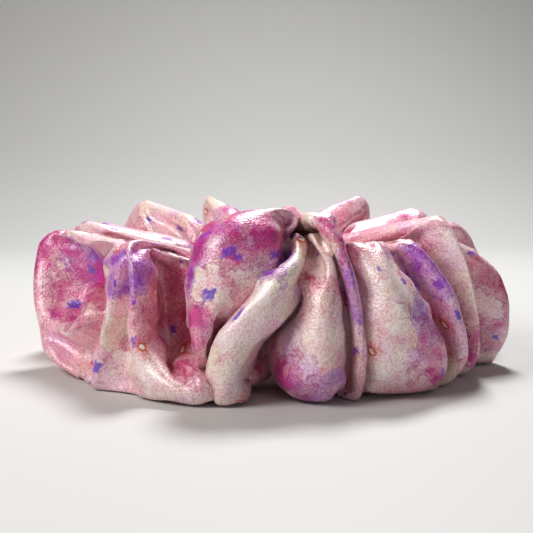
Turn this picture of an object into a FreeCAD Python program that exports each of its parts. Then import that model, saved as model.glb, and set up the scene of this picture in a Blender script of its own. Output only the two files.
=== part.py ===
"""A satin hair scrunchie: a long sewn tube of cloth, gathered on a closed loop of flat elastic.

Frame: millimetres, +Z up. The ring lies flat on the plane z = 0 with its axis on Z.
The closing seam and the join of the elastic are at the back, on +Y.

The cloth tube and the elastic are each one piece on the real scrunchie. They stretch, so each is
cut at the plane y = 0 into a front and a back solid, which draw apart along Y as the loop opens.
"""
import FreeCAD, Part
import math
import os
import Sketcher

# Driving dimensions, in millimetres unless the note says otherwise.
SIZES = [
    ("overall_diameter", 112.0, "outside diameter of the gathered ring, lying flat"),
    ("overall_height", 39.0, "height of the gathered tube as it stands on a table"),
    ("opening_diameter", 44.0, "hole that the hair goes through, with the elastic at rest"),
    ("foot_width", 6.0, "width of the ring on which the gathers rest"),
    ("cloth_wall", 0.8, "bulk thickness of the gathered satin"),
    ("elastic_width", 8.0, "width of the flat elastic, standing up"),
    ("elastic_thickness", 1.0, "thickness of the flat elastic"),
    ("elastic_clearance", 0.3, "play between the elastic and the cloth round it"),
    ("elastic_overlap", 12.0, "length by which the ends of the elastic overlap"),
    ("grip_margin", 1.5, "upright inner wall left above and below the elastic"),
    ("seam_allowance", 8.0, "turned-in edge of the tube's long seam"),
    ("seam_layers", 0.5, "thickness of the two layers in the seam allowance"),
    ("seam_line", 1.0, "distance of the long seam's thread from the wall"),
    ("thread_diameter", 0.4, "sewing thread"),
    ("thread_sink", 0.05, "depth to which the long seam's thread bites into the cloth"),
    ("bartack_edge", 1.0, "elastic left free above and below the bartack"),
    ("bartack_pitch", 1.0, "distance from one bar of the bartack to the next"),
    ("topstitch_length", 2.4, "length of one stitch of the closing seam"),
    ("topstitch_pitch", 3.2, "distance from one stitch of the closing seam to the next"),
    ("topstitch_offset", 1.5, "distance of the closing seam's stitches from the folded edge"),
    ("topstitch_sink", 0.3, "depth to which the closing seam's thread is pulled into the cloth"),
]

doc = FreeCAD.newDocument("scrunchie")
sheet = doc.addObject("Spreadsheet::Sheet", "Sizes")
for line, (alias, value, note) in enumerate(SIZES, start=1):
    sheet.set(f"A{line}", alias)
    sheet.set(f"B{line}", str(value))
    sheet.setAlias(f"B{line}", alias)
    sheet.set(f"C{line}", note)
doc.recompute()
size = {alias: float(sheet.get(alias)) for alias, _, _ in SIZES}

# Expressions that several sub-parts share. The section of the tube is drawn with r to the right, z up.
INNER_R = "Sizes.opening_diameter / 2"
HALF_HEIGHT = "Sizes.overall_height / 2"
CROWN_R = "Sizes.overall_diameter / 2 - Sizes.overall_height / 2"
GRIP_HEIGHT = "Sizes.elastic_width + 2 * Sizes.grip_margin"
WALL_INSIDE_R = "Sizes.opening_diameter / 2 + Sizes.cloth_wall"
ELASTIC_R = "Sizes.opening_diameter / 2 + Sizes.cloth_wall + Sizes.elastic_clearance"
ELASTIC_FOOT_Z = "Sizes.overall_height / 2 - Sizes.elastic_width / 2"
SEAM_TOP_Z = ELASTIC_FOOT_Z + " - Sizes.elastic_clearance"


def vector(x, y, z=0.0):
    return FreeCAD.Vector(x, y, z)


def new_body(label):
    body = doc.addObject("PartDesign::Body", label)
    body.Label = label
    return body


def new_sketch(body, name, plane_role="XZ_Plane"):
    """A sketch on one of the body's own upright planes: across is r, up is z."""
    sketch = body.newObject("Sketcher::SketchObject", name)
    planes = {feature.Role: feature for feature in body.Origin.OriginFeatures}
    sketch.AttachmentSupport = [(planes[plane_role], "")]
    sketch.MapMode = "FlatFace"
    return sketch


def constrain(sketch, name, expression, kind, *where):
    """Adds a named constraint at the expression's present value and binds it to the expression."""
    value = float(sketch.evalExpression(expression))
    index = sketch.addConstraint(Sketcher.Constraint(kind, *where, value))
    sketch.renameConstraint(index, name)
    sketch.setExpression(f"Constraints.{name}", expression)


def revolve(body, name, sketch, angle, back, midplane=False):
    """Turns a section about Z: from +X through the back (+Y), or through the front (-Y)."""
    turned = body.newObject("PartDesign::Revolution", name)
    turned.Profile = sketch
    turned.ReferenceAxis = (sketch, ["V_Axis"])
    turned.Midplane = midplane
    turned.Reversed = not back
    if isinstance(angle, str):
        turned.setExpression("Angle", angle)
    else:
        turned.Angle = angle
    body.Tip = turned
    return turned


def arc(centre, radius, start, end):
    """An arc that runs counter-clockwise from the angle start to the angle end, in radians."""
    circle = Part.Circle(centre, vector(0, 0, 1), radius)
    return Part.ArcOfCircle(circle, start, end)


def angle_at(centre, point):
    """The direction from centre to point, from 0 to a full turn, so that an arc's end can't wrap."""
    return math.atan2(point.y - centre.y, point.x - centre.x) % (2 * math.pi)


def section_loop(sketch, inset):
    """Draws the tube's section, moved in by inset, and returns its first geometry number.

    In order: the upright inner wall, the arc over the inner shoulder, the outer half circle,
    the foot, and the arc under the inner side. The start values only help the solver.
    """
    half = size["overall_height"] / 2
    inner = size["opening_diameter"] / 2
    crown = size["overall_diameter"] / 2 - half
    grip = size["elastic_width"] / 2 + size["grip_margin"]
    foot_end = crown - size["foot_width"]
    rise = half - grip
    shoulder_r = ((crown - inner) ** 2 + rise**2) / (2 * rise)
    belly_r = ((foot_end - inner) ** 2 + rise**2) / (2 * rise)
    shoulder = vector(crown, 2 * half - shoulder_r)
    belly = vector(foot_end, belly_r)
    outer = vector(crown, half)

    wall_r = inner + inset
    high = shoulder.y + math.sqrt((shoulder_r - inset) ** 2 - (crown - wall_r) ** 2)
    low = belly.y - math.sqrt((belly_r - inset) ** 2 - (foot_end - wall_r) ** 2)
    wall_top, wall_foot = vector(wall_r, high), vector(wall_r, low)
    quarter = math.pi / 2
    first = sketch.addGeometry(Part.LineSegment(wall_foot, wall_top))
    sketch.addGeometry(arc(shoulder, shoulder_r - inset, quarter, angle_at(shoulder, wall_top)))
    sketch.addGeometry(arc(outer, half - inset, -quarter, quarter))
    sketch.addGeometry(Part.LineSegment(vector(crown, inset), vector(foot_end, inset)))
    sketch.addGeometry(arc(belly, belly_r - inset, angle_at(belly, wall_foot), 3 * quarter))
    wall, shoulder_arc, outer_arc, foot, belly_arc = range(first, first + 5)

    joints = [
        (wall, 2, shoulder_arc, 2),
        (shoulder_arc, 1, outer_arc, 2),
        (outer_arc, 1, foot, 1),
        (foot, 2, belly_arc, 2),
        (belly_arc, 1, wall, 1),
    ]
    for joint in joints:
        sketch.addConstraint(Sketcher.Constraint("Coincident", *joint))
    sketch.addConstraint(Sketcher.Constraint("Vertical", wall))
    sketch.addConstraint(Sketcher.Constraint("Horizontal", foot))
    sketch.addConstraint(Sketcher.Constraint("Vertical", outer_arc, 3, outer_arc, 1))
    sketch.addConstraint(Sketcher.Constraint("Vertical", outer_arc, 3, outer_arc, 2))
    sketch.addConstraint(Sketcher.Constraint("Vertical", belly_arc, 3, belly_arc, 2))
    return first


def cover_half(label, back):
    """Half of the satin tube: a hollow ring with an upright wall round the opening and a flat foot."""
    body = new_body(label)
    sketch = new_sketch(body, label + "_section")
    skin = section_loop(sketch, 0.0)
    wall, shoulder_arc, outer_arc, foot = range(skin, skin + 4)
    sketch.addConstraint(Sketcher.Constraint("Vertical", shoulder_arc, 3, shoulder_arc, 1))
    constrain(sketch, "crown_r", CROWN_R, "DistanceX", -1, 1, outer_arc, 3)
    constrain(sketch, "crown_z", HALF_HEIGHT, "DistanceY", -1, 1, outer_arc, 3)
    constrain(sketch, "bulge_r", HALF_HEIGHT, "Radius", outer_arc)
    constrain(sketch, "opening_r", INNER_R, "DistanceX", -1, 1, wall, 1)
    grip_foot = f"{HALF_HEIGHT} - ({GRIP_HEIGHT}) / 2"
    constrain(sketch, "grip_foot_z", grip_foot, "DistanceY", -1, 1, wall, 1)
    constrain(sketch, "grip_height", GRIP_HEIGHT, "DistanceY", wall, 1, wall, 2)
    constrain(sketch, "foot_width", "Sizes.foot_width", "DistanceX", foot, 2, foot, 1)

    lining = section_loop(sketch, size["cloth_wall"])
    wall, shoulder_arc, outer_arc, foot, belly_arc = range(lining, lining + 5)
    for centred in (1, 2, 4):
        sketch.addConstraint(Sketcher.Constraint("Coincident", lining + centred, 3, skin + centred, 3))
    constrain(sketch, "lining_bulge_r", f"{HALF_HEIGHT} - Sizes.cloth_wall", "Radius", outer_arc)
    constrain(sketch, "lining_r", WALL_INSIDE_R, "DistanceX", -1, 1, wall, 1)
    revolve(body, label + "_tube", sketch, 180.0, back)

    allowance = new_sketch(body, label + "_allowance_section")
    rectangle(
        allowance,
        left=f"{WALL_INSIDE_R} - Sizes.cloth_wall / 2",
        foot=f"{SEAM_TOP_Z} - Sizes.seam_layers",
        width="Sizes.cloth_wall / 2 + Sizes.seam_allowance",
        height="Sizes.seam_layers",
    )
    revolve(body, label + "_allowance", allowance, 180.0, back)
    return body


def rectangle(sketch, left, foot, width, height):
    """A rectangle bound to four expressions, with its sides in the order foot, right, top, left."""
    corners = [vector(1, 1), vector(2, 1), vector(2, 2), vector(1, 2)]
    for a, b in zip(corners, corners[1:] + corners[:1]):
        sketch.addGeometry(Part.LineSegment(a, b))
    for side in range(4):
        sketch.addConstraint(Sketcher.Constraint("Coincident", side, 2, (side + 1) % 4, 1))
    for side, way in enumerate(("Horizontal", "Vertical", "Horizontal", "Vertical")):
        sketch.addConstraint(Sketcher.Constraint(way, side))
    constrain(sketch, "left", left, "DistanceX", -1, 1, 0, 1)
    constrain(sketch, "foot", foot, "DistanceY", -1, 1, 0, 1)
    constrain(sketch, "width", width, "DistanceX", 0, 1, 0, 2)
    constrain(sketch, "height", height, "DistanceY", 1, 1, 1, 2)


def elastic_half(label, back):
    """Half of the elastic loop: a flat band that stands on edge just inside the cloth."""
    body = new_body(label)
    sketch = new_sketch(body, label + "_section")
    rectangle(sketch, ELASTIC_R, ELASTIC_FOOT_Z, "Sizes.elastic_thickness", "Sizes.elastic_width")
    revolve(body, label + "_band", sketch, 180.0, back)
    return body


def elastic_join(body):
    """The other end of the elastic, lapped over the outside of the band at the back."""
    sketch = new_sketch(body, "elastic_lap_section", "YZ_Plane")
    lap_r = f"{ELASTIC_R} + Sizes.elastic_thickness"
    rectangle(sketch, lap_r, ELASTIC_FOOT_Z, "Sizes.elastic_thickness", "Sizes.elastic_width")
    angle = f"Sizes.elastic_overlap / ({lap_r}) * 180 / pi"
    revolve(body, "elastic_lap", sketch, angle, back=True, midplane=True)


def seam_thread_half(label, back):
    """Half of the long seam's thread, under the seam allowance and just inside the wall."""
    body = new_body(label)
    sketch = new_sketch(body, label + "_section")
    circle = sketch.addGeometry(Part.Circle(vector(2, 2), vector(0, 0, 1), 1.0))
    constrain(sketch, "thread_r", "Sizes.thread_diameter / 2", "Radius", circle)
    line_r = f"{WALL_INSIDE_R} + Sizes.seam_line"
    constrain(sketch, "ring_r", line_r, "DistanceX", -1, 1, circle, 3)
    sunk = f"{SEAM_TOP_Z} - Sizes.seam_layers - Sizes.thread_diameter / 2 + Sizes.thread_sink"
    constrain(sketch, "ring_z", sunk, "DistanceY", -1, 1, circle, 3)
    revolve(body, label + "_ring", sketch, 180.0, back)
    return body


def bartack(label):
    """The bars of thread that hold the lapped ends of the elastic, on the outer face of the lap."""
    bar_ring = f"({ELASTIC_R} + 2 * Sizes.elastic_thickness)"
    span = size["elastic_overlap"] - 2 * size["bartack_edge"]
    count = int(span / size["bartack_pitch"]) + 1
    bars = []
    for number in range(count):
        bar = doc.addObject("Part::Cylinder", f"{label}_bar_{number + 1}")
        turn = f"({number - (count - 1) / 2}) * Sizes.bartack_pitch / {bar_ring} * 180 deg / pi"
        bar.setExpression("Radius", "Sizes.thread_diameter / 2")
        bar.setExpression("Height", "Sizes.elastic_width - 2 * Sizes.bartack_edge")
        bar.setExpression("Placement.Base.x", f"{bar_ring} * sin({turn})")
        bar.setExpression("Placement.Base.y", f"{bar_ring} * cos({turn})")
        bar.setExpression("Placement.Base.z", f"{ELASTIC_FOOT_Z} + Sizes.bartack_edge")
        bars.append(bar)
    group = doc.addObject("Part::Compound", label)
    group.Label = label
    group.Links = bars
    return group


def stitches_on_arc(centre, radius, start, end):
    """Stitches on an arc of the section at the back, each along the arc's chord."""
    step = size["topstitch_pitch"] / radius
    count = int(abs(end - start) / step)
    depth = size["topstitch_sink"] - size["thread_diameter"] / 2
    way = math.copysign(1.0, end - start)
    made = []
    for number in range(count):
        angle = start + way * step * (number + 0.5)
        outward = vector(0, math.cos(angle), math.sin(angle))
        along = vector(0, -math.sin(angle), math.cos(angle))
        middle = vector(size["topstitch_offset"], centre.x, centre.y) + outward * (radius - depth)
        foot = middle - along * (size["topstitch_length"] / 2)
        thread_r = size["thread_diameter"] / 2
        made.append(Part.makeCylinder(thread_r, size["topstitch_length"], foot, along))
    return made


def closing_seam(label):
    """The row of stitches across the tube where one end is tucked into the other."""
    half = size["overall_height"] / 2
    inner = size["opening_diameter"] / 2
    crown = size["overall_diameter"] / 2 - half
    rise = half - size["elastic_width"] / 2 - size["grip_margin"]
    shoulder_r = ((crown - inner) ** 2 + rise**2) / (2 * rise)
    shoulder = vector(crown, 2 * half - shoulder_r)
    wall_top = vector(inner, 2 * half - rise)
    quarter = math.pi / 2
    low_end = -quarter + size["topstitch_pitch"] / half
    made = stitches_on_arc(vector(crown, half), half, low_end, quarter)
    made += stitches_on_arc(shoulder, shoulder_r, quarter, angle_at(shoulder, wall_top))
    row = doc.addObject("Part::Feature", label)
    row.Label = label
    row.Shape = Part.makeCompound(made)
    return row


def build():
    elastic_back = elastic_half("elastic_back", back=True)
    elastic_join(elastic_back)
    return [
        cover_half("cover_front", back=False),
        cover_half("cover_back", back=True),
        elastic_half("elastic_front", back=False),
        elastic_back,
        bartack("elastic_join_stitches"),
        closing_seam("closing_seam_stitches"),
        seam_thread_half("seam_thread_front", back=False),
        seam_thread_half("seam_thread_back", back=True),
    ]


def write(sub_parts):
    """Checks the document and every sub-part, then writes one STEP file for each."""
    doc.recompute()
    for thing in doc.Objects:
        if "Invalid" in thing.State or "Error" in thing.State:
            raise SystemExit(f"{thing.Label} failed: {thing.State}")
        if thing.TypeId == "Sketcher::SketchObject" and thing.solve() != 0:
            raise SystemExit(f"{thing.Label} has constraints that don't solve")
    os.makedirs("parts", exist_ok=True)
    for part in sub_parts:
        shape = part.Shape
        if shape.isNull() or not shape.isValid() or not shape.Solids:
            raise SystemExit(f"{part.Label} has no valid solid")
        shape.exportStep(os.path.join("parts", part.Label + ".step"))
        box = shape.optimalBoundingBox()
        print(
            f"{part.Label:24s} {len(shape.Solids):3d} solids {shape.Volume:10.2f} mm3  "
            f"x {box.XMin:7.2f} {box.XMax:7.2f}  y {box.YMin:7.2f} {box.YMax:7.2f}  "
            f"z {box.ZMin:6.2f} {box.ZMax:6.2f}"
        )


write(build())
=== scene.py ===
"""A printed satin scrunchie lying on a pale table. Metres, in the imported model's frame."""
import math

import bpy
import numpy as np
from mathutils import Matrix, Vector


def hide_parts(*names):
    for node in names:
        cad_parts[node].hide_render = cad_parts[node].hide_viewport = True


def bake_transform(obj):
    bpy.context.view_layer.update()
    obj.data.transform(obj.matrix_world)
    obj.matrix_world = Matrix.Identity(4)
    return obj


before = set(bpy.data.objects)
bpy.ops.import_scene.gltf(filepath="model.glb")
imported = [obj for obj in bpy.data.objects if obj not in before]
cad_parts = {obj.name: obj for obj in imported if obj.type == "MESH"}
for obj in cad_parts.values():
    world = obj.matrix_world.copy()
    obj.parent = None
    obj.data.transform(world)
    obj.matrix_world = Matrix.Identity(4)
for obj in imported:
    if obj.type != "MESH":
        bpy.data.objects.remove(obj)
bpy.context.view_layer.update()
MM = 0.001
TURN = 2 * math.pi

# ------------------------------------------------------------------ the view
# The camera stands low in front of the ring, a little above its top, and looks slightly down.
CAMERA_AT = (-0.9 * MM, -240.5 * MM, 45.9 * MM)
CAMERA_TILT = math.radians(90 - 5.6)
CAMERA_LENS = 64.5

camera_data = bpy.data.cameras.new("camera")
camera_data.lens = CAMERA_LENS
camera_data.sensor_width = 36
camera = bpy.data.objects.new("camera", camera_data)
camera.location = CAMERA_AT
camera.rotation_euler = (CAMERA_TILT, 0, 0)
bpy.context.collection.objects.link(camera)
bpy.context.scene.camera = camera
bpy.context.scene.view_settings.view_transform = "Standard"


# ------------------------------------------------------------------ the table and the light
# A white table that runs up into a light grey wall, a large soft lamp up on the left, a weak one on
# the right, and a dim sky that fills the shadows.
def srgb(code):
    """Linear red, green, blue and alpha of an sRGB hex colour such as 'E6C0C8'."""
    parts = [int(code[k : k + 2], 16) / 255 for k in (0, 2, 4)]
    return [c / 12.92 if c <= 0.04045 else ((c + 0.055) / 1.055) ** 2.4 for c in parts] + [1.0]


def add(tree, kind, links=None, stops=(), **settings):
    """Adds a node. links maps an input's name or number to a value or to another node's output.

    stops are a colour ramp's, as (place, sRGB hex).
    """
    made = tree.nodes.new(kind)
    for _ in stops[2:]:
        made.color_ramp.elements.new(1.0)
    for element, (place, code) in zip(made.color_ramp.elements if stops else (), stops):
        element.position = place
        element.color = srgb(code)
    for name, value in settings.items():
        setattr(made, name, value)
    for name, value in (links or {}).items():
        if isinstance(value, bpy.types.NodeSocket):
            tree.links.new(value, made.inputs[name])
        else:
            made.inputs[name].default_value = value
    return made


def new_material(name, sockets):
    """A material with a Principled shader, and the shader, with constant sockets set on it."""
    material = bpy.data.materials.new(name)
    material.use_nodes = True
    shader = material.node_tree.nodes["Principled BSDF"]
    for socket, value in sockets.items():
        shader.inputs[socket].default_value = value
    return material, shader


def new_piece(name, points, faces, smooth=True):
    mesh = bpy.data.meshes.new(name)
    mesh.from_pydata([tuple(p) for p in points], [], [tuple(f) for f in faces])
    if smooth:
        mesh.polygons.foreach_set("use_smooth", [True] * len(mesh.polygons))
    piece = bpy.data.objects.new(name, mesh)
    bpy.context.collection.objects.link(piece)
    return piece


TABLE_HALF_WIDTH = 4.0
TABLE_FRONT = -4.0
SWEEP_FROM = 0.33
SWEEP_RADIUS = 0.30
WALL_TOP = 1.6

profile = [(TABLE_FRONT, 0.0), (SWEEP_FROM, 0.0)]
for step in range(1, 25):
    turn = step / 24 * math.pi / 2
    rise = SWEEP_RADIUS * (1 - math.cos(turn))
    profile.append((SWEEP_FROM + SWEEP_RADIUS * math.sin(turn), rise))
profile.append((SWEEP_FROM + SWEEP_RADIUS, WALL_TOP))
sweep_points = [(side * TABLE_HALF_WIDTH, y, z) for y, z in profile for side in (-1, 1)]
sweep_faces = [(2 * k, 2 * k + 1, 2 * k + 3, 2 * k + 2) for k in range(len(profile) - 1)]
table = new_piece("table", sweep_points, sweep_faces)

# Matt white laminate: an even pale surface, greyer up the wall.
table_material, shader = new_material("matt white laminate", {"Roughness": 0.62})
tree = table_material.node_tree
place = add(tree, "ShaderNodeTexCoord").outputs["Object"]
height = add(tree, "ShaderNodeSeparateXYZ", {0: place}).outputs["Z"]
climb = add(tree, "ShaderNodeMapRange", {0: height, 1: 0.002, 2: 0.07}, interpolation_type="SMOOTHSTEP")
tint = add(
    tree, "ShaderNodeMix",
    {0: climb.outputs[0], 6: srgb("CCCCCB"), 7: srgb("C5C5C2")}, data_type="RGBA",
)
tree.links.new(tint.outputs[2], shader.inputs["Base Color"])
table.data.materials.append(table_material)


def soft_lamp(name, place, aim, size, power, tint="FFFFFF"):
    data = bpy.data.lights.new(name, "AREA")
    data.shape = "DISK"
    data.size = size
    data.energy = power
    data.color = srgb(tint)[:3]
    lamp = bpy.data.objects.new(name, data)
    lamp.location = place
    lamp.rotation_euler = (Vector(aim) - Vector(place)).to_track_quat("-Z", "Y").to_euler()
    bpy.context.collection.objects.link(lamp)


soft_lamp("window_left", (-0.36, -0.26, 0.38), (0, 0, 0.02), 0.28, 2.1, "FFFBF6")
soft_lamp("top", (0.05, 0.26, 0.50), (0, 0, 0.02), 0.17, 3.5)
soft_lamp("front_fill", (0.30, -0.60, 0.22), (0, 0, 0.02), 0.30, 0.25)

sky = bpy.data.worlds.new("studio")
bpy.context.scene.world = sky
sky.use_nodes = True
sky.node_tree.nodes["Background"].inputs["Color"].default_value = srgb("F0EEEC")
sky.node_tree.nodes["Background"].inputs["Strength"].default_value = 0.13


# ------------------------------------------------------------------ the printed satin tube
# One strip of satin sewn into a tube and gathered nearly five to one on the elastic. The folds are
# laid out line by line, then a cloth simulation gives them length, thickness and rest on the table.
TUBE_GIRTH = 112.0
ELASTIC_RADIUS = 24.0
ELASTIC_MIDDLE = 19.5
ELASTIC_HALF = 4.0
ELASTIC_ROOM = 1.4
SECTION_CENTRE = (37.0, 19.5)
SHOULDER_RADIUS = 50.0
SECTION_HALF = (23.6, 19.6)

# Each fold line runs from the top of the ring down its outside to the foot. A stop is the angle from
# the front in degrees, the radius and the height, in millimetres. Ridges stand at 50 to 60 mm, and
# the hollows between them at 38 to 48.
FRONT_FOLDS = {
    "left edge": [
        (-80, 54, 32), (-79, 57, 28), (-77, 58, 20), (-75, 58, 15),
        (-72, 57, 10), (-66, 56, 6), (-57, 54, 1),
    ],
    "left cup": [
        (-73, 51, 32), (-72, 45, 26), (-72, 43, 20), (-68, 45, 15),
        (-61, 53, 11), (-60, 50, 5), (-52, 53, 1),
    ],
    "left lip": [
        (-60, 48, 31), (-62, 43, 26), (-62, 43, 21), (-55, 49, 18),
        (-50, 55, 14), (-52, 47, 7), (-47, 54, 1),
    ],
    "left fold": [
        (-46, 49, 31), (-54, 45, 26), (-53, 45, 21), (-48, 48, 18),
        (-45, 51, 15), (-47, 51, 7), (-44, 54, 1),
    ],
    "arch left leg": [
        (-38, 51, 31), (-35, 55, 27), (-35, 56, 22), (-36, 56, 17),
        (-37, 57, 12), (-39, 57, 7), (-42, 56, 1),
    ],
    "arch slit": [
        (-36, 51, 32), (-33, 54, 27), (-34, 52, 20), (-36, 51, 15),
        (-36, 52, 10), (-36, 53, 5), (-35, 54, 1),
    ],
    "arch right leg": [
        (-34, 51, 31), (-30, 56, 26), (-29, 57, 21), (-29, 58, 16),
        (-28, 58, 11), (-26, 58, 5), (-24, 57, 1),
    ],
    "leg inside": [
        (-32, 49, 30), (-28, 52, 26), (-28, 51, 21), (-28, 51, 16),
        (-26, 53, 10), (-20, 59, 5), (-17, 60, 1),
    ],
    "pocket left": [
        (-33, 44, 30), (-36, 42, 25), (-36, 41, 19), (-36, 41, 14),
        (-29, 44, 9), (-14, 59, 6), (-11, 60, 1),
    ],
    "pocket right": [
        (-25, 42, 29), (-24, 41, 24), (-24, 41, 19), (-24, 41, 14),
        (-22, 43, 9), (-16, 51, 7), (-18, 48, 4),
    ],
    "dome rim": [
        (-14, 48, 36), (-17, 53, 31), (-17, 56, 26), (-16, 57, 20),
        (-15, 58, 14), (-15, 55, 8), (-17, 47, 5),
    ],
    "dome crest": [
        (-6, 49, 39), (-9, 55, 35), (-9, 58, 30), (-11, 59, 25),
        (-13, 58, 17), (-14, 55, 9), (-15, 46, 5),
    ],
    "dome side": [
        (0, 49, 39), (2, 50, 34), (0, 53, 28), (-5, 56, 22),
        (-11, 55, 15), (-14, 52, 8), (-13, 45, 5),
    ],
    "dome gap": [
        (6, 49, 38), (4, 43, 34), (1, 45, 28), (-4, 48, 22),
        (-10, 49, 14), (-13, 50, 8), (-11, 45, 5),
    ],
    "tongue left": [
        (4, 42, 34), (6, 44, 31), (-1, 55, 26), (-4, 58, 22),
        (-10, 60, 15), (-13, 57, 7), (-12, 56, 1),
    ],
    "tongue": [
        (5, 43, 34), (7, 47, 31), (4, 57, 27), (-1, 60, 21),
        (-6, 60, 14), (-9, 60, 7), (-10, 59, 1),
    ],
    "tongue right": [
        (7, 41, 34), (8, 43, 31), (7, 52, 27), (4, 55, 21),
        (-2, 57, 14), (-6, 57, 7), (-7, 56, 1),
    ],
    "centre gap": [
        (8, 39, 34), (9, 40, 31), (9, 42, 26), (8, 42, 19),
        (2, 41, 14), (-2, 38, 11), (-3, 33, 10),
    ],
    "drop left": [
        (9, 41, 34), (9, 43, 31), (8, 49, 27), (7, 54, 20),
        (3, 54, 12), (2, 54, 6), (5, 54, 1),
    ],
    "drop": [
        (10, 43, 34), (11, 49, 31), (11, 56, 26), (10, 59, 20),
        (9, 60, 13), (10, 60, 6), (12, 56, 1),
    ],
    "drop right": [
        (12, 41, 35), (13, 47, 32), (14, 54, 27), (15, 55, 20),
        (16, 55, 13), (16, 55, 7), (15, 53, 2),
    ],
    "strip gap": [
        (7, 49, 38), (12, 48, 34), (14, 48, 27), (16, 49, 20),
        (17, 49, 13), (17, 49, 7), (17, 49, 2),
    ],
    "strip": [
        (13, 49, 38), (15, 53, 32), (16, 56, 26), (17, 58, 19),
        (18, 58, 13), (18, 58, 7), (18, 55, 1),
    ],
    "right gap": [
        (20, 42, 33), (21, 43, 28), (21, 43, 23), (21, 44, 18),
        (21, 44, 13), (21, 45, 8), (21, 46, 3),
    ],
    "petal left": [
        (22, 46, 32), (21, 51, 28), (21, 54, 23), (20, 56, 17),
        (20, 57, 12), (21, 57, 7), (22, 55, 3),
    ],
    "petal": [
        (25, 47, 32), (24, 54, 28), (24, 58, 23), (25, 60, 17),
        (26, 60, 12), (27, 59, 7), (31, 56, 1),
    ],
    "petal edge": [
        (29, 46, 32), (28, 52, 28), (29, 56, 24), (32, 58, 19),
        (34, 59, 13), (37, 59, 7), (38, 56, 1),
    ],
    "petal fold": [
        (34, 41, 31), (38, 43, 27), (41, 46, 22), (43, 48, 17),
        (45, 50, 12), (46, 51, 7), (42, 52, 2),
    ],
    "second petal": [
        (38, 45, 32), (39, 51, 28), (41, 55, 23), (42, 57, 18),
        (44, 58, 12), (45, 58, 7), (44, 54, 1),
    ],
    "second gap": [
        (46, 39, 33), (50, 41, 29), (54, 43, 24), (56, 44, 18),
        (56, 45, 13), (56, 46, 8), (54, 48, 2),
    ],
    "third petal": [
        (52, 46, 37), (50, 52, 32), (50, 55, 26), (51, 56, 20),
        (53, 56, 14), (55, 56, 8), (57, 53, 2),
    ],
    "third gap": [
        (64, 40, 34), (66, 42, 29), (67, 43, 24), (68, 44, 18),
        (69, 45, 13), (70, 46, 8), (69, 48, 2),
    ],
    "right edge": [
        (77, 47, 28), (75, 54, 24), (74, 57, 20), (73, 59, 16),
        (73, 59, 11), (74, 58, 6), (76, 55, 1),
    ],
}
# Behind, plain lobes: the angle, the height of the top, and how far the foot leans, in degrees.
BACK_LOBES = [
    (98, 34, 4), (118, 37, -5), (132, 33, 3), (146, 40, 5), (171, 37, -4), (185, 33, 3),
    (201, 40, -5), (216, 33, 4), (231, 39, 5), (249, 33, -3), (263, 34, -4),
]
USUAL_HEIGHTS = (31, 29, 24, 19, 13, 7, 1)
BACK_STARTS_AT = 80
BACK_ENDS_AT = 273
LOWEST_LOBE = 33
GAP_RADII = (38, 40, 41, 42, 43, 45, 47)
LOBE_RADII = (45, 52, 55, 57, 57, 57, 55)

rng = np.random.default_rng(5)


def fold_lines():
    """All fold lines round the ring, as an array: line, stop, (angle, radius, height)."""
    lines = list(FRONT_FOLDS.values())
    last = BACK_STARTS_AT
    for angle, top, lean in BACK_LOBES:
        gap = (angle + last) / 2
        full = (top - LOWEST_LOBE) / 5
        leans = [lean * share for share in (-0.3, 0, 0, 0.3, 0.6, 0.8, 1)]
        lines.append([(gap + a / 2, r, z) for a, r, z in zip(leans, GAP_RADII, USUAL_HEIGHTS)])
        lobe = [(angle + a, r + full, z) for a, r, z in zip(leans, LOBE_RADII, USUAL_HEIGHTS)]
        lobe[0] = lobe[0][:2] + (top,)
        lines.append(lobe)
        last = angle
    lines.append([(BACK_ENDS_AT, r, z) for r, z in zip(GAP_RADII, USUAL_HEIGHTS)])
    return np.array(lines, float)


def to_xyz(polar):
    """Points in millimetres from (angle in degrees from the front, radius, height)."""
    angle = np.radians(polar[..., 0])
    return np.stack(
        [polar[..., 1] * np.sin(angle), -polar[..., 1] * np.cos(angle), polar[..., 2]], -1
    )


def through(keys, values, where):
    """A smooth closed line through values at keys, read at where, all from 0 to 1. It doesn't overshoot."""
    keys = np.concatenate([keys - 1, keys, keys + 1])
    values = np.concatenate([values] * 3)
    at = np.searchsorted(keys, where, side="right") - 1
    shape = (-1,) + (1,) * (values.ndim - 1)
    width = (keys[at + 1] - keys[at]).reshape(shape)
    t = (where - keys[at]).reshape(shape) / width

    def slope(k):
        before = (values[k] - values[k - 1]) / (keys[k] - keys[k - 1]).reshape(shape)
        after = (values[k + 1] - values[k]) / (keys[k + 1] - keys[k]).reshape(shape)
        both = np.where(before * after > 0, before * after, 0)
        return 2 * both / (before + after + (before + after == 0))

    rise = (3 - 2 * t) * t * t
    return (
        (1 - rise) * values[at]
        + rise * values[at + 1]
        + width * t * (1 - t) * ((1 - t) * slope(at) - t * slope(at + 1))
    )


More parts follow.
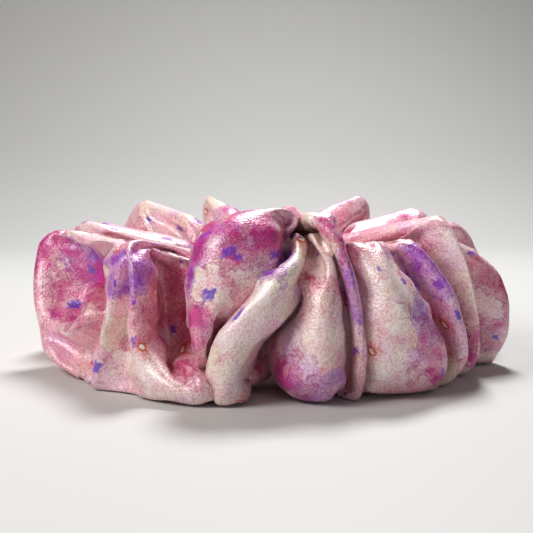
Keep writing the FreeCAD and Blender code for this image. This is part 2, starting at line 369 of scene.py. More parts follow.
def folded_tube(along, around):
    """The tube as laid out, before the cloth settles: along columns, around points in each."""
    lines = fold_lines()
    spacing = np.linalg.norm(to_xyz(np.roll(lines, -1, 0)) - to_xyz(lines), axis=-1)
    spacing = spacing[:, 2:6].mean(1)
    length = spacing.sum()
    keys = np.concatenate([[0], np.cumsum(spacing)[:-1]]) / length
    column = np.arange(along) / along
    drift = lines.copy()
    drift[..., 0] -= keys[:, None] * 360
    stops = through(keys, drift, column)
    stops[..., 0] += column[:, None] * 360

    # On the elastic the columns are evenly spread, so the angle there is a long running average.
    reach = along // 50
    kernel = np.exp(-0.5 * (np.arange(-3 * reach, 3 * reach + 1) / reach) ** 2)
    wander = stops[:, 1:6, 0].mean(1) - column * 360
    wander = np.pad(wander, 3 * reach, mode="wrap")
    inner = np.convolve(wander, kernel / kernel.sum(), mode="valid") + column * 360
    top, foot = stops[:, 0], stops[:, 6]
    proud = (top[:, 1] - 42) / 8
    same = np.ones(along)

    def between(share, outer, radius, height):
        angle = inner * (1 - share) + outer[:, 0] * share
        return np.stack([angle, radius * same, height * same], -1)

    ring = [between(0, top, 21.6, 19.0)]
    ring += [between(0.15, top, 23.5, 26.5 + 0.4 * (top[:, 2] - 32))]
    ring += [between(0.6, top, 32.0 + proud, top[:, 2] - 1.3)]
    ring += [stops[:, k] for k in range(7)]
    raised = np.pad(np.maximum(foot[:, 2] - 2.5, 0), 3 * reach, mode="wrap")
    raised = np.minimum(3 * np.convolve(raised, kernel / kernel.sum(), mode="valid"), 7)
    ring += [between(0.6, foot, 35.0 + proud, 1.2 + 1.1 * raised)]
    ring += [between(0.15, foot, 24.5, 9.0 + 0.4 * raised)]
    shares = np.array([0, 0.075, 0.175, 0.287, 0.363, 0.41, 0.458, 0.51, 0.565, 0.625, 0.785, 0.905])
    section = through(shares, np.stack(ring), np.arange(around) / around)
    return to_xyz(section.transpose(1, 0, 2)), length, keys, top[:, 2]


def pull_along(points, axis, hop, rest, stiffness, only_push=False):
    """Brings points that are hop apart along an axis to their rest distance, in two passes."""
    count = points.shape[axis]
    number = np.arange(count)
    for half in (0, 1):
        a = number[(number // hop) % 2 == half]
        b = (a + hop) % count
        a, b = (a, b) if axis == 0 else ((slice(None), a), (slice(None), b))
        apart = points[b] - points[a]
        distance = np.sqrt(np.einsum("ijk,ijk->ij", apart, apart)) + 1e-9
        error = distance - rest[a]
        if only_push:
            error = np.minimum(error, 0)
        move = (0.5 * stiffness * error / distance)[..., None] * apart
        points[a] += move
        points[b] -= move


def pull_across(points, way, rest, stiffness):
    """The same on the diagonals of the weave; way is 1 or -1."""
    number = np.arange(len(points))
    for half in (0, 1):
        a = number[number % 2 == half]
        b = (a + 1) % len(points)
        apart = np.roll(points[b], -way, axis=1) - points[a]
        distance = np.sqrt(np.einsum("ijk,ijk->ij", apart, apart)) + 1e-9
        move = (0.5 * stiffness * (distance - rest[a]) / distance)[..., None] * apart
        points[a] += move
        points[b] -= np.roll(move, way, axis=1)


def near_pairs(points, reach, neighbours=2):
    """Pairs of points nearer than reach that aren't close neighbours in the cloth."""
    along, around = points.shape[:2]
    flat = points.reshape(-1, 3)
    cell = np.floor((flat - flat.min(0)) / reach).astype(np.int64) + 1
    size = cell.max(0) + 2
    key = (cell[:, 0] * size[1] + cell[:, 1]) * size[2] + cell[:, 2]
    order = np.argsort(key, kind="stable")
    key = key[order]
    number = np.arange(len(flat))
    firsts, seconds = [], []
    steps = [(x * size[1] + y) * size[2] + z for x in (-1, 0, 1) for y in (-1, 0, 1) for z in (-1, 0, 1)]
    for step in (s for s in steps if s >= 0):
        low = number + 1 if step == 0 else np.searchsorted(key, key + step, side="left")
        high = np.searchsorted(key, key + step, side="right")
        count = np.maximum(high - low, 0)
        start = np.repeat(np.cumsum(count) - count, count)
        firsts.append(order[np.repeat(number, count)])
        seconds.append(order[np.arange(count.sum()) - start + np.repeat(low, count)])
    a, b = np.concatenate(firsts), np.concatenate(seconds)
    near = ((flat[a] - flat[b]) ** 2).sum(1) < reach * reach
    a, b = a[near], b[near]
    gap_along = np.abs(a // around - b // around)
    gap_around = np.abs(a % around - b % around)
    gap_along = np.minimum(gap_along, along - gap_along)
    gap_around = np.minimum(gap_around, around - gap_around)
    apart = (gap_along > neighbours) | (gap_around > neighbours)
    return a[apart], b[apart]


def keep_apart(points, pairs, gap):
    """Pushes the pairs that are nearer than gap away from each other, so layers don't cross."""
    flat = points.reshape(-1, 3)
    a, b = pairs
    apart = flat[a] - flat[b]
    distance = np.sqrt((apart * apart).sum(1)) + 1e-9
    hit = distance < gap
    a, b, apart, distance = a[hit], b[hit], apart[hit], distance[hit]
    move = (0.4 * (gap - distance) / distance)[:, None] * apart
    count = np.bincount(a, minlength=len(flat)) + np.bincount(b, minlength=len(flat))
    for k in range(3):
        total = np.bincount(a, move[:, k], len(flat)) - np.bincount(b, move[:, k], len(flat))
        flat[:, k] += total / np.maximum(1, count * 0.5)


def keep_in_place(points, inner, room_above):
    """Keeps the cloth round the elastic, inside the ring's outline and on the table."""
    radius = np.hypot(points[..., 0], points[..., 1]) + 1e-9
    height = points[..., 2]
    level = np.clip(height, ELASTIC_MIDDLE - ELASTIC_HALF, ELASTIC_MIDDLE + ELASTIC_HALF)
    out, up = radius - ELASTIC_RADIUS, height - level
    distance = np.hypot(out, up) + 1e-9
    push = np.maximum(ELASTIC_ROOM - distance, 0) / distance
    wanted = radius + out * push
    beside = inner & (out > -ELASTIC_ROOM) & (np.abs(height - ELASTIC_MIDDLE) < ELASTIC_HALF + 1)
    wanted = np.where(beside, np.minimum(wanted, ELASTIC_RADIUS - 0.9 * ELASTIC_ROOM), wanted)
    height += up * push
    points[..., :2] *= (wanted / radius)[..., None]

    radius = wanted
    out = (radius - SECTION_CENTRE[0]) / SECTION_HALF[0]
    up = np.where(height > SECTION_CENTRE[1], (height - SECTION_CENTRE[1]) / room_above[:, None], 0)
    beyond = (np.abs(out) ** 5 + up ** 5) ** 0.2 + 1e-9
    back = np.where(beyond > 1, 0.3 * (1 / beyond - 1), 0)
    height += (height - SECTION_CENTRE[1]) * back * (up > 0)
    points[..., :2] *= (1 + (radius - SECTION_CENTRE[0]) * back / radius)[..., None]
    slope = 0.2 * np.maximum(SHOULDER_RADIUS - radius, 0)
    np.minimum(height, SECTION_CENTRE[1] + room_above[:, None] - slope, out=height)
    np.maximum(height, 0.3, out=height)


def settle(points, tops, rest, steps, gap, hold, air, weight=0.005, bend=0.15):
    """The cloth simulation: position-based, two passes a step, with damping.

    rest(progress) gives the rest lengths along, around and on both diagonals, so the cloth can grow
    from the folds as laid out to its own length. hold(progress) is how firmly each point is drawn to
    the folds as laid out. air is a slight push outwards that keeps the lobes full.
    """
    around = points.shape[1]
    share = np.minimum(np.arange(around), around - np.arange(around)) / around
    inner = (share < 0.09)[None, :]
    room_above = tops + 0.4 - SECTION_CENTRE[1]
    goal = points.copy()
    speed = np.zeros_like(points)
    for step in range(steps):
        progress = step / steps
        on_u, on_v, on_d, on_e = rest(progress)
        across = np.roll(points, -1, 0) - np.roll(points, 1, 0)
        round_ = np.roll(points, -1, 1) - np.roll(points, 1, 1)
        push = np.cross(round_, across) * (air / (4 * on_u * on_v))[..., None]
        push[..., 2] -= weight
        before = points.copy()
        points = points + speed * 0.9 + push + (goal - points) * hold(progress)[..., None]
        step_length = np.sqrt(((points - before) ** 2).sum(-1, keepdims=True)) + 1e-9
        points = before + (points - before) * np.minimum(1, 0.6 * gap / step_length)
        if step % 3 == 0:
            pairs = near_pairs(points, gap * 1.4)
        for _ in range(2):
            pull_along(points, 0, 1, on_u, 1.0)
            pull_along(points, 1, 1, on_v, 1.0)
            pull_across(points, 1, on_d, 0.35)
            pull_across(points, -1, on_e, 0.35)
            pull_along(points, 0, 2, 2 * on_u, bend, only_push=True)
            pull_along(points, 1, 2, 2 * on_v, bend, only_push=True)
            keep_apart(points, pairs, gap)
            keep_in_place(points, inner, room_above)
        speed = points - before
    return points


def lengths(points):
    """Distances to the next point along, around and on the two diagonals."""
    nexts = [(1, 0), (0, 1), (1, 1), (1, -1)]
    return [
        np.linalg.norm(np.roll(points, (-i, -j), (0, 1)) - points, axis=-1) for i, j in nexts
    ]


def finer(points):
    """Doubles the grid both ways with a smooth curve through the points."""
    for axis in (0, 1):
        near = points + np.roll(points, -1, axis)
        far = np.roll(points, 1, axis) + np.roll(points, -2, axis)
        middle = (9 * near - far) / 16
        both = np.stack([points, middle], axis + 1)
        shape = list(points.shape)
        shape[axis] *= 2
        points = both.reshape(shape)
    return points


def gathered_satin():
    """The finished cloth: a grid of points in millimetres, and the tube's length."""
    along, around = 240, 48
    points, length, keys, tops = folded_tube(along, around)
    points += rng.normal(0, 0.1, points.shape)
    share = np.arange(around) / around
    outside = 1 / (1 + (np.abs(share - 0.455) / 0.235) ** 8)[None, :]
    start = lengths(points)
    full_u = start[0] + (length / along - start[0]) * (1 - 0.9 * outside)
    full_v = start[1] + (TUBE_GIRTH / around - start[1]) * (1 - 0.95 * outside)
    full = [full_u, full_v, np.hypot(full_u, full_v), np.hypot(full_u, full_v)]

    def growing(progress):
        grown = min(1.0, progress / 0.7)
        return [a + (b - a) * grown for a, b in zip(start, full)]

    def held(progress):
        loosened = max(0.0, progress - 0.7) / 0.3
        return 0.25 * outside * (1 - 0.3 * loosened) * np.ones((along, 1))

    points = settle(points, tops, growing, 200, gap=1.6, hold=held, air=0.0035)
    points = finer(points)
    fine = [size for size in lengths(points)]
    loose = np.full(points.shape[:2], 0.08)
    points = settle(
        points, np.repeat(tops, 2), lambda progress: fine, 45, gap=1.0, hold=lambda progress: loose,
        air=0.0015, bend=0.1,
    )
    return points, length, keys


satin_points, TUBE_LENGTH, fold_keys = gathered_satin()
ALONG, AROUND = satin_points.shape[:2]

# The closing seam is at the back and the long seam low on the inside: the print starts at both.
LONG_SEAM_SHARE = 0.96
middle_angle = np.arctan2(satin_points[:, AROUND // 2, 0], -satin_points[:, AROUND // 2, 1])
seam_column = int(np.argmax(np.cos(middle_angle - math.pi)))
seam_row = round(LONG_SEAM_SHARE * AROUND)
satin_points = np.roll(satin_points, (-seam_column, -seam_row), axis=(0, 1))


def outward(points):
    """Unit normals of the cloth, pointing out of the tube."""
    across = np.roll(points, -1, 0) - np.roll(points, 1, 0)
    round_ = np.roll(points, -1, 1) - np.roll(points, 1, 1)
    normal = np.cross(round_, across)
    return normal / (np.linalg.norm(normal, axis=-1, keepdims=True) + 1e-12)


# One end of the tube is tucked into the other, so the cloth steps up by its turned-in edge there.
LAP_STEP = 0.6
lap = np.zeros(ALONG)
lap[1:5] = (1.0, 0.9, 0.5, 0.2)
satin_points += outward(satin_points) * (LAP_STEP * lap)[:, None, None]
satin_points[:, 0] -= 0.35 * outward(satin_points)[:, 0]
satin_points[..., 2] = np.maximum(satin_points[..., 2], 0.2)

CLOTH_THICKNESS = 0.25
column, row = np.meshgrid(np.arange(ALONG), np.arange(AROUND), indexing="ij")
corners = [(0, 0), (0, 1), (1, 1), (1, 0)]
faces = [((column + i) % ALONG) * AROUND + (row + j) % AROUND for i, j in corners]
faces = np.stack(faces, -1).reshape(-1, 4)
cover = new_piece("satin_cover", satin_points.reshape(-1, 3) * MM, faces)
cloth_map = cover.data.uv_layers.new(name="cloth")
spots = [np.stack([(column + i) / ALONG, (row + j) / AROUND], -1) for i, j in corners]
spots = np.stack(spots, 2).reshape(-1)
cloth_map.data.foreach_set("uv", spots.astype(np.float32))

# Where the broad washes lie: by a fold line's name, how far down it (0 its top, 6 its foot), and
# the size along and across the cloth in millimetres. The rest of the cloth is strewn at random.
WASH_INKS = {
    "rose": ("CB889D", "B5688A"),
    "cream": ("EDDCE0", "E3D3C9"),
    "violet": ("A678BC", "7E55A6"),
    "magenta": ("C25A94", "A23C80"),
}
FRONT_WASHES = [
    ("magenta", "left edge", 0.6, 9, 7), ("magenta", "left cup", 2.6, 9, 7),
    ("violet", "left cup", 1.0, 7, 5), ("cream", "left cup", 0.2, 5, 4),
    ("rose", "left lip", 2.6, 10, 8), ("rose", "left fold", 3.5, 9, 10),
    ("violet", "arch left leg", 1.2, 7, 5), ("violet", "arch right leg", 1.0, 5, 5),
    ("rose", "leg inside", 3.0, 7, 14), ("rose", "pocket left", 3.0, 9, 14),
    ("cream", "arch right leg", 5.0, 8, 6), ("cream", "tongue", 5.2, 8, 8),
    ("cream", "pocket right", 6.2, 9, 5), ("magenta", "dome crest", 0.9, 9, 7),
    ("violet", "dome rim", 1.2, 5, 6), ("cream", "dome crest", 2.6, 8, 5),
    ("magenta", "dome rim", 3.8, 5, 4), ("rose", "dome side", 2.6, 6, 8),
    ("cream", "tongue", 2.4, 5, 5), ("violet", "tongue left", 1.6, 5, 4),
    ("cream", "drop", 1.2, 6, 5), ("rose", "drop", 2.3, 6, 4), ("cream", "drop", 3.6, 7, 5),
    ("violet", "drop", 5.6, 6, 5), ("magenta", "drop left", 5.2, 5, 6),
    ("magenta", "strip", 0.8, 5, 4), ("violet", "strip", 2.6, 5, 5),
    ("cream", "petal", 2.2, 8, 8), ("cream", "petal left", 4.4, 7, 6), ("rose", "petal left", 0.4, 5, 4),
    ("magenta", "petal edge", 4.6, 6, 7), ("violet", "petal edge", 3.4, 5, 5),
    ("violet", "second petal", 1.4, 7, 6), ("rose", "second gap", 3.0, 8, 9),
    ("cream", "third petal", 2.2, 6, 7), ("magenta", "third petal", 5.0, 6, 5),
    ("rose", "right edge", 2.0, 6, 8), ("magenta", "right edge", 4.6, 7, 5),
]
fold_names = list(FRONT_FOLDS)
along_mm = np.arange(ALONG)[:, None] / ALONG * TUBE_LENGTH
around_mm = np.arange(AROUND)[None, :] / AROUND * TUBE_GIRTH
STOP_SHARES = (0.287, 0.363, 0.41, 0.458, 0.51, 0.565, 0.625)


def cloth_place_of(fold, stop):
    """Where a stop of a fold line is on the flat cloth, in millimetres from the two seams."""
    along_share = fold_keys[fold_names.index(fold)] - seam_column / ALONG
    around_share = np.interp(stop, range(7), STOP_SHARES) - seam_row / AROUND
    return along_share % 1 * TUBE_LENGTH, around_share % 1 * TUBE_GIRTH


def wash_over(amount, u, v, along_size, across_size):
    """Adds one soft patch to an amount field. The cloth runs on over both seams."""
    du = (along_mm - u + TUBE_LENGTH / 2) % TUBE_LENGTH - TUBE_LENGTH / 2
    dv = (around_mm - v + TUBE_GIRTH / 2) % TUBE_GIRTH - TUBE_GIRTH / 2
    np.maximum(amount, np.exp(-0.7 * ((du / along_size) ** 2 + (dv / across_size) ** 2)), out=amount)


amounts = {wash: np.zeros((ALONG, AROUND)) for wash in WASH_INKS}
for wash, fold, stop, along_size, across_size in FRONT_WASHES:
    wash_over(amounts[wash], *cloth_place_of(fold, stop), along_size, across_size)
front_from = cloth_place_of("left edge", 0)[0]
front_to = cloth_place_of("right edge", 0)[0]
outside_from = cloth_place_of("left edge", 0)[1] - 10
for _ in range(200):
    u, v = rng.uniform(0, TUBE_LENGTH), rng.uniform(0, TUBE_GIRTH)
    wash = list(WASH_INKS)[rng.integers(4)]
    sizes = rng.uniform(4.5, 9.5, 2)
    if front_from - 5 < u < front_to + 5 and outside_from < v < outside_from + 56:
        continue
    wash_over(amounts[wash], u, v, *sizes)
for wash, amount in amounts.items():
    painted = cover.data.attributes.new(wash, "FLOAT", "POINT")
    painted.data.foreach_set("value", amount.astype(np.float32).reshape(-1))

# Where each bit of cloth lies at rest, so that fine detail keeps one size where the cloth bunches.
at_rest = cover.data.attributes.new("at rest", "FLOAT_VECTOR", "POINT")
at_rest.data.foreach_set("vector", satin_points.astype(np.float32).reshape(-1))

wall = cover.modifiers.new("cloth thickness", "SOLIDIFY")
wall.thickness = CLOTH_THICKNESS * MM
wall.offset = -1

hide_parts("cover_front", "cover_back")
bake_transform(cover)

# Polyester satin, woven with long floats and printed with loose watercolour flowers. The floats
# give a broad soft gloss and a fine sparkling grain, partly painted sparkle; the ink lies in washes with
# darker rims.
satin, shader = new_material("printed polyester satin", {
    "Roughness": 0.40, "IOR": 1.65, "Specular IOR Level": 1.0, "Coat Weight": 0.3,
    "Coat Roughness": 0.30, "Sheen Weight": 0.2, "Sheen Roughness": 0.3,
})
tree = satin.node_tree
cloth_place = add(tree, "ShaderNodeUVMap", uv_map="cloth").outputs["UV"]
in_mm = add(
    tree, "ShaderNodeVectorMath", {0: cloth_place, 1: (TUBE_LENGTH, TUBE_GIRTH, 0)},
    operation="MULTIPLY",
).outputs[0]
at_rest = add(tree, "ShaderNodeAttribute", attribute_name="at rest").outputs["Vector"]


# How rough the edges of the ink's blots are, and the length of a woven float in millimetres.
INK_ROUGHNESS = 0.55
FLOAT_SIZE = 0.42


def bled(place, blot, amount):
    """Cloth places moved about by up to amount mm, in blots of that size, as ink runs in wet cloth."""
    noise = add(
        tree, "ShaderNodeTexNoise", {"Vector": place, "Scale": 1 / blot, "Detail": 3, "Roughness": 0.55},
        noise_dimensions="2D",
    ).outputs["Color"]
    centred = add(tree, "ShaderNodeVectorMath", {0: noise, 1: (0.5, 0.5, 0.5)}, operation="SUBTRACT")
    moved = add(
        tree, "ShaderNodeVectorMath", {0: centred.outputs[0], 1: (amount, amount, 0), 2: place},
        operation="MULTIPLY_ADD",
    )
    return moved.outputs[0]


def printed_over(ink, colour, *limits, way="MIX"):
    """Prints a colour over the ink so far, as strongly as all its limits together allow.

    A limit is a number, a node's output, or (output, none, full): no ink at none, full ink at full.
    """
    share = None
    for limit in limits:
        if isinstance(limit, tuple):
            value, none, full = limit
            ends = {0: value, 1: min(none, full), 2: max(none, full)}
            if none > full:
                ends.update({3: 1.0, 4: 0.0})
            limit = add(tree, "ShaderNodeMapRange", ends, interpolation_type="SMOOTHSTEP").outputs[0]
        if share is not None:
            limit = add(tree, "ShaderNodeMath", {0: share, 1: limit}, operation="MULTIPLY").outputs[0]
        share = limit
    return add(
        tree, "ShaderNodeMix", {0: share, 6: ink, 7: colour}, data_type="RGBA", blend_type=way
    ).outputs[2]


wet = bled(bled(in_mm, 14, 9), 4, 2.2)

# Pale petals, each its own tint, with thin darker rims where the ink gathered: large ones, and
# smaller ones over them.
ink = srgb("E8CDD0")
PETALS = {
    15: (0.9, [(0.0, "E8C4CE"), (0.15, "D996AE"), (0.28, "ECDFE0"), (0.42, "CF86A4"), (0.55, "EBD0D4"),
               (0.68, "C79CC4"), (0.82, "DFA6B6"), (1.0, "E6DDCC")]),
    7: (0.6, [(0.0, "F2E4E8"), (0.2, "D48BAA"), (0.38, "EBC4CE"), (0.55, "B78BC2"), (0.7, "F3E9EA"),
              (0.85, "C9688E"), (1.0, "E0DAC0")]),
}
for size, (strength, inks) in PETALS.items():
    petals = add(tree, "ShaderNodeTexVoronoi", {"Vector": wet, "Scale": 1 / size}, voronoi_dimensions="2D")
    rims = add(
        tree, "ShaderNodeTexVoronoi", {"Vector": wet, "Scale": 1 / size},
        voronoi_dimensions="2D", feature="DISTANCE_TO_EDGE",
    ).outputs["Distance"]
    which = add(tree, "ShaderNodeSeparateColor", {0: petals.outputs["Color"]})
    tint = add(tree, "ShaderNodeValToRGB", {0: which.outputs[0]}, stops=inks).outputs[0]
    thinned = add(
        tree, "ShaderNodeTexNoise",
        {"Vector": in_mm, "Scale": 1 / (1.6 * size), "Detail": 3, "Roughness": INK_ROUGHNESS},
    ).outputs["Fac"]
    ink = printed_over(ink, tint, (thinned, 0.36, 0.60), strength)
    ink = printed_over(
        ink, srgb("A04F86"), (rims, 0.8 / size, 0.1 / size), (which.outputs[1], 0.35, 0.8),
        (thinned, 0.36, 0.60), strength, 0.6,
    )

# Broad washes whose places are painted on the cloth, uneven and broken up at the edge. An edge
# moves in and out by its raggedness, in blots of 5 mm, and the ink took unevenly in blots of 4.5 mm.
RAGGEDNESS = 1.2
for wash, (core, edge) in WASH_INKS.items():
    amount = add(tree, "ShaderNodeAttribute", attribute_name=wash).outputs["Fac"]
    torn = add(
        tree, "ShaderNodeTexNoise",
        {"Vector": at_rest, "Scale": 1 / 5.0, "Detail": 3, "Roughness": INK_ROUGHNESS},
    ).outputs["Fac"]
    centred = add(tree, "ShaderNodeMath", {0: torn, 1: -0.5}, operation="ADD").outputs[0]
    ragged = add(
        tree, "ShaderNodeMath", {0: centred, 1: RAGGEDNESS, 2: amount}, operation="MULTIPLY_ADD"
    ).outputs[0]
    pooled = add(
        tree, "ShaderNodeTexNoise",
        {"Vector": at_rest, "Scale": 1 / 4.0, "Detail": 2, "Roughness": INK_ROUGHNESS},
    ).outputs["Fac"]
    tone = printed_over(srgb(core), srgb(edge), (pooled, 0.36, 0.64))
    uneven = add(
        tree, "ShaderNodeTexNoise",
        {"Vector": at_rest, "Scale": 1 / 4.5, "Detail": 2, "Roughness": INK_ROUGHNESS},
    ).outputs["Fac"]
    taken = add(
        tree, "ShaderNodeMath", {0: uneven, 1: 2.4, 2: -0.55}, operation="MULTIPLY_ADD"
    ).outputs[0]
    ink = printed_over(ink, tone, (ragged, 0.36, 0.56), taken)
    ink = printed_over(ink, srgb(edge), (ragged, 0.34, 0.39), (ragged, 0.46, 0.41), 0.55)

# Fine meandering veins where one wash dried before the next, in some places only.
vein = add(
    tree, "ShaderNodeTexNoise",
    {"Vector": wet, "Scale": 1 / 9.0, "Detail": 3, "Roughness": INK_ROUGHNESS},
).outputs["Fac"]
veined = add(
    tree, "ShaderNodeTexNoise",
    {"Vector": in_mm, "Scale": 1 / 12, "Detail": 3, "Roughness": INK_ROUGHNESS},
).outputs["Fac"]
ink = printed_over(
    ink, srgb("A8557F"), (vein, 0.478, 0.498), (vein, 0.522, 0.503), (veined, 0.45, 0.62), 0.45
)

# Small blue-violet shards, and little flowers with a white eye in an orange-red ring.
shards = add(
    tree, "ShaderNodeTexVoronoi", {"Vector": bled(in_mm, 2.2, 2.8), "Scale": 1 / 11},
    voronoi_dimensions="2D", distance="CHEBYCHEV",
)
chance = add(tree, "ShaderNodeSeparateColor", {0: shards.outputs["Color"]})
spread = add(
    tree, "ShaderNodeMath", {0: chance.outputs[2], 1: 0.06, 2: shards.outputs["Distance"]},
    operation="MULTIPLY_ADD",
).outputs[0]
shard_ink = printed_over(srgb("4644A8"), srgb("7A46AC"), (chance.outputs[1], 0.3, 0.7))
ink = printed_over(ink, shard_ink, (spread, 0.135, 0.075), (chance.outputs[0], 0.42, 0.44), 0.85)

flowers = add(
    tree, "ShaderNodeTexVoronoi", {"Vector": bled(in_mm, 1.6, 1.3), "Scale": 1 / 17},
    voronoi_dimensions="2D",
)
chance = add(tree, "ShaderNodeSeparateColor", {0: flowers.outputs["Color"]})
blooms = (chance.outputs[0], 0.55, 0.57)
eye = flowers.outputs["Distance"]
ink = printed_over(ink, srgb("CF7C80"), (eye, 0.20, 0.06), blooms, 0.5)
ink = printed_over(ink, srgb("A8443A"), (eye, 0.075, 0.058), blooms, 0.75)
ink = printed_over(ink, srgb("F3E9E2"), (eye, 0.042, 0.028), blooms)

# Uneven ink and the weave: floats near half a millimetre long, a little coarse so that they show.
# Their light and dark specks in the colour are partly the weave and partly painted sparkle.
mottle = add(
    tree, "ShaderNodeTexNoise",
    {"Vector": at_rest, "Scale": 1 / 3.0, "Detail": 2, "Roughness": INK_ROUGHNESS},
).outputs["Fac"]
shades = [(0.30, "9A8C96"), (0.5, "C8C0C4"), (0.72, "FFFFFF")]
mottled = add(tree, "ShaderNodeValToRGB", {0: mottle}, stops=shades).outputs[0]
ink = printed_over(ink, mottled, 0.25, way="SOFT_LIGHT")
grain = add(
    tree, "ShaderNodeTexNoise",
    {"Vector": at_rest, "Scale": 1 / FLOAT_SIZE, "Detail": 0.5, "Roughness": INK_ROUGHNESS},
).outputs["Fac"]
# Painted sparkle in part: the weave's specks lighten and darken the ink.
weave_and_painted_sparkle = add(
    tree, "ShaderNodeValToRGB", {0: grain}, stops=[(0.30, "4E484E"), (0.66, "FFFFFF")]
).outputs[0]
ink = printed_over(ink, weave_and_painted_sparkle, 0.6, way="SOFT_LIGHT")
deep = add(
    tree, "ShaderNodeHueSaturation", {"Color": ink, "Hue": 0.513, "Saturation": 1.35, "Value": 1.10}
).outputs[0]
tree.links.new(deep, shader.inputs["Base Color"])

crepe = add(tree, "ShaderNodeBump", {"Height": grain, "Strength": 1.0, "Distance": 0.12 * MM})
slack = add(
    tree, "ShaderNodeTexNoise",
    {"Vector": at_rest, "Scale": 1 / 6.0, "Detail": 2, "Roughness": INK_ROUGHNESS},
).outputs["Fac"]
pucker = add(
    tree, "ShaderNodeBump",
    {"Height": slack, "Strength": 0.4, "Distance": 0.6 * MM, "Normal": crepe.outputs[0]},
)
tree.links.new(pucker.outputs[0], shader.inputs["Normal"])
cover.data.materials.append(satin)


# ------------------------------------------------------------------ the elastic
# A flat braided elastic, 8 mm wide and 1 mm thick, lies as a ring inside the tube. Its ends lap at
# the back. The braid shows as fine ribs along it.
ELASTIC_WIDTH = 8.0
ELASTIC_THICKNESS = 1.0
ELASTIC_RING = 23.6
ELASTIC_LAP = 12.0
RIBS = 9
RIB_DEPTH = 0.10
LAP_RISE = 1.06
STEPS_ROUND = 320

rise_steps = np.linspace(-0.5, 0.5, 2 * RIBS + 1)
ribbed = ELASTIC_THICKNESS / 2 - RIB_DEPTH * (np.arange(2 * RIBS + 1) % 2)
ribbed[[0, -1]] = 0.25 * ELASTIC_THICKNESS
outline = [(r, h * ELASTIC_WIDTH) for r, h in zip(ribbed, rise_steps)]
outline += [(-r, h * ELASTIC_WIDTH) for r, h in zip(ribbed[::-1], rise_steps[::-1])]
outline = np.array(outline)

half_lap = ELASTIC_LAP / 2 / ELASTIC_RING
turn = np.linspace(-half_lap, TURN + half_lap, STEPS_ROUND + 1)
over = np.clip((turn - (TURN - 3 * half_lap)) / (1.8 * half_lap), 0, 1)
ring = ELASTIC_RING + LAP_RISE * over * over * (3 - 2 * over)
radius = ring[:, None] + outline[None, :, 0]
band_points = np.stack(
    [radius * np.sin(-turn)[:, None], radius * np.cos(turn)[:, None],
     np.broadcast_to(ELASTIC_MIDDLE + outline[None, :, 1], radius.shape)], -1,
)
edge_count = len(outline)
band_faces = []
for k in range(STEPS_ROUND):
    for e in range(edge_count):
        after = (e + 1) % edge_count
        band_faces.append((k * edge_count + e, (k + 1) * edge_count + e,
                           (k + 1) * edge_count + after, k * edge_count + after))
band_faces.append(tuple(range(edge_count)))
band_faces.append(tuple(STEPS_ROUND * edge_count + e for e in reversed(range(edge_count))))
elastic = new_piece("elastic", band_points.reshape(-1, 3) * MM, band_faces)
elastic_map = elastic.data.uv_layers.new(name="band")
for loop in elastic.data.loops:
    step, e = divmod(loop.vertex_index, edge_count)
    elastic_map.data[loop.index].uv = (turn[step] * ELASTIC_RING, outline[e, 1])
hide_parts("elastic_front", "elastic_back")
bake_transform(elastic)

# Polyester braid over rubber: matt off-white, with slanting yarns a millimetre apart.
braid, shader = new_material("polyester braid over rubber", {"Roughness": 0.8, "Sheen Weight": 0.2})
tree = braid.node_tree
band_place = add(tree, "ShaderNodeUVMap", uv_map="band").outputs["UV"]
yarns = add(
    tree, "ShaderNodeTexWave", {"Vector": band_place, "Scale": 0.32, "Distortion": 0.6, "Detail": 1.0},
    wave_type="BANDS", bands_direction="DIAGONAL",
).outputs["Fac"]
tint = add(tree, "ShaderNodeValToRGB", {0: yarns}, stops=[(0.2, "CFCBC2"), (0.8, "EFEDE6")])
tree.links.new(tint.outputs[0], shader.inputs["Base Color"])
raised = add(tree, "ShaderNodeBump", {"Height": yarns, "Strength": 0.7, "Distance": 0.1 * MM})
tree.links.new(raised.outputs[0], shader.inputs["Normal"])
elastic.data.materials.append(braid)


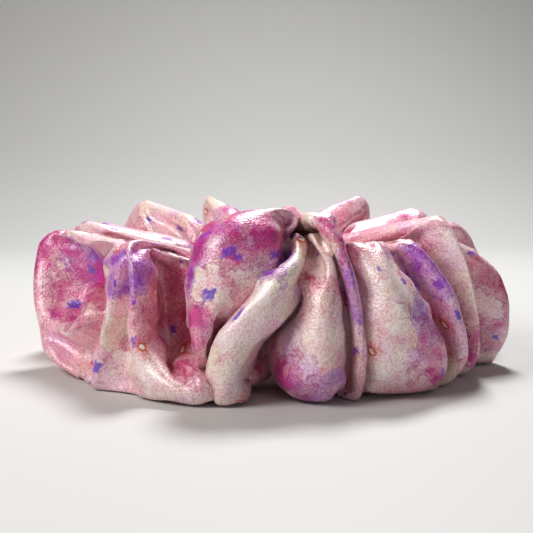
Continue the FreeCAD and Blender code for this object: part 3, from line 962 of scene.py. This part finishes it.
# ------------------------------------------------------------------ the stitches in the elastic's lap
# A close zigzag of polyester thread through both layers of the elastic, at the back.
def stitch_tree():
    """Geometry nodes: stitches along the piece's edges, each a spindle of thread."""
    made = bpy.data.node_groups.new("stitches", "GeometryNodeTree")
    made.interface.new_socket("Path", in_out="INPUT", socket_type="NodeSocketGeometry")
    for name in ("Pitch", "Stitch length", "Thread thickness", "Lean"):
        made.interface.new_socket(name, in_out="INPUT", socket_type="NodeSocketFloat")
    made.interface.new_socket("Side", in_out="INPUT", socket_type="NodeSocketVector")
    made.interface.new_socket("Thread", in_out="INPUT", socket_type="NodeSocketMaterial")
    made.interface.new_socket("Stitches", in_out="OUTPUT", socket_type="NodeSocketGeometry")
    given = add(made, "NodeGroupInput").outputs
    path = add(made, "GeometryNodeMeshToCurve", {"Mesh": given["Path"]}).outputs[0]
    points = add(
        made, "GeometryNodeCurveToPoints", {"Curve": path, "Length": given["Pitch"]}, mode="LENGTH"
    ).outputs
    # Every second stitch leans the other way: the sign is 1 - 2 * (index mod 2).
    number = add(made, "GeometryNodeInputIndex").outputs[0]
    odd = add(made, "ShaderNodeMath", {0: number, 1: 2.0}, operation="MODULO")
    sign = add(made, "ShaderNodeMath", {0: odd.outputs[0], 1: -2.0, 2: 1.0}, operation="MULTIPLY_ADD")
    lean = add(made, "ShaderNodeMath", {0: sign.outputs[0], 1: given["Lean"]}, operation="MULTIPLY")
    sideways = add(
        made, "ShaderNodeVectorMath", {0: given["Side"], "Scale": lean.outputs[0]}, operation="SCALE"
    )
    way = add(made, "ShaderNodeVectorMath", {0: points["Tangent"], 1: sideways.outputs[0]}, operation="ADD")
    turned = add(made, "FunctionNodeAlignRotationToVector", {"Vector": way.outputs[0]}, axis="Z")
    size = add(
        made, "ShaderNodeCombineXYZ",
        {0: given["Thread thickness"], 1: given["Thread thickness"], 2: given["Stitch length"]},
    )
    spindle = add(made, "GeometryNodeMeshUVSphere", {"Segments": 8, "Rings": 6, "Radius": 0.5})
    laid = add(
        made, "GeometryNodeInstanceOnPoints",
        {"Points": points["Points"], "Instance": spindle.outputs[0],
         "Rotation": turned.outputs[0], "Scale": size.outputs[0]},
    )
    real = add(made, "GeometryNodeRealizeInstances", {0: laid.outputs[0]})
    smooth = add(made, "GeometryNodeSetShadeSmooth", {0: real.outputs[0]})
    finished = add(
        made, "GeometryNodeSetMaterial", {"Geometry": smooth.outputs[0], "Material": given["Thread"]}
    )
    add(made, "NodeGroupOutput", {0: finished.outputs[0]})
    return made


stitches = stitch_tree()


def sewn(name, path, closed, thread, **sizes):
    """A line of stitches along points in millimetres, as a plain mesh. Sizes are the tree's inputs."""
    count = len(path)
    mesh = bpy.data.meshes.new(name + "_path")
    last = count if closed else count - 1
    edges = [(k, (k + 1) % count) for k in range(last)]
    mesh.from_pydata([tuple(p) for p in np.asarray(path) * MM], edges, [])
    line = bpy.data.objects.new(name + "_path", mesh)
    bpy.context.collection.objects.link(line)
    sewing = line.modifiers.new("stitches", "NODES")
    sewing.node_group = stitches
    sockets = {item.name: item.identifier for item in stitches.interface.items_tree}
    for size, value in {**sizes, "Thread": thread}.items():
        sewing[sockets[size]] = value
    bpy.context.view_layer.update()
    finished = line.evaluated_get(bpy.context.evaluated_depsgraph_get())
    piece = bpy.data.objects.new(name, bpy.data.meshes.new_from_object(finished))
    bpy.data.objects.remove(line)
    bpy.context.collection.objects.link(piece)
    return piece


def thread_material(name, shaded_twist, light):
    """Twisted polyester thread: a slight gloss, with painted shade darkening the twist between its plies.
    """
    material, shader = new_material(name, {"Roughness": 0.5, "Sheen Weight": 0.3})
    tree = material.node_tree
    place = add(tree, "ShaderNodeTexCoord").outputs["Object"]
    ply = add(
        tree, "ShaderNodeTexWave", {"Vector": place, "Scale": 900.0, "Distortion": 1.0},
        bands_direction="DIAGONAL",
    ).outputs["Fac"]
    # The darker colour is painted shade in the twist between the plies.
    tint = add(tree, "ShaderNodeValToRGB", {0: ply}, stops=[(0.1, shaded_twist), (0.8, light)])
    tree.links.new(tint.outputs[0], shader.inputs["Base Color"])
    raised = add(tree, "ShaderNodeBump", {"Height": ply, "Strength": 0.6, "Distance": 0.05 * MM})
    tree.links.new(raised.outputs[0], shader.inputs["Normal"])
    return material


white_thread = thread_material("white polyester thread", "D5D3CC", "F4F3EE")
tack_radius = ELASTIC_RING + LAP_RISE + ELASTIC_THICKNESS / 2
tack_turn = np.linspace(-0.8, 0.8, 24) * half_lap
tack_path = np.stack(
    [tack_radius * np.sin(tack_turn), tack_radius * np.cos(tack_turn), np.full(24, ELASTIC_MIDDLE)], -1
)
join = sewn(
    "elastic_join", tack_path, False, white_thread,
    **{"Pitch": 0.9 * MM, "Stitch length": 5.4 * MM, "Thread thickness": 0.34 * MM, "Lean": 6.0,
       "Side": (0, 0, 1)},
)
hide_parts("elastic_join_stitches")
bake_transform(join)


# ------------------------------------------------------------------ the closing seam
# One end of the tube is turned in and lapped over the other, and edge-stitched down through the
# satin with pink polyester thread. It runs round the tube at the back.
pink_thread = thread_material("pink polyester thread", "B8718C", "E2A8BA")
surface = outward(satin_points)
EDGE_COLUMN = 2
THREAD_CLEAR_OF_TABLE = 0.45
closing_path = (satin_points + 0.16 * surface)[EDGE_COLUMN, 4:-3]
closing_path[:, 2] = np.maximum(closing_path[:, 2], THREAD_CLEAR_OF_TABLE)
closing = sewn(
    "closing_seam", closing_path, False, pink_thread,
    **{"Pitch": 3.2 * MM, "Stitch length": 2.4 * MM, "Thread thickness": 0.4 * MM, "Lean": 0.0,
       "Side": (0, 0, 1)},
)
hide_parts("closing_seam_stitches")
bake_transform(closing)


# ------------------------------------------------------------------ the long seam
# The tube's long seam was sewn inside out and turned, so its thread lies just inside the cloth,
# low on the side that faces the opening.
long_path = (satin_points - 0.55 * surface)[:, 0]
long_seam = sewn(
    "long_seam", long_path, True, pink_thread,
    **{"Pitch": 2.8 * MM, "Stitch length": 2.3 * MM, "Thread thickness": 0.4 * MM, "Lean": 0.0,
       "Side": (0, 0, 1)},
)
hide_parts("seam_thread_front", "seam_thread_back")
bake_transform(long_seam)
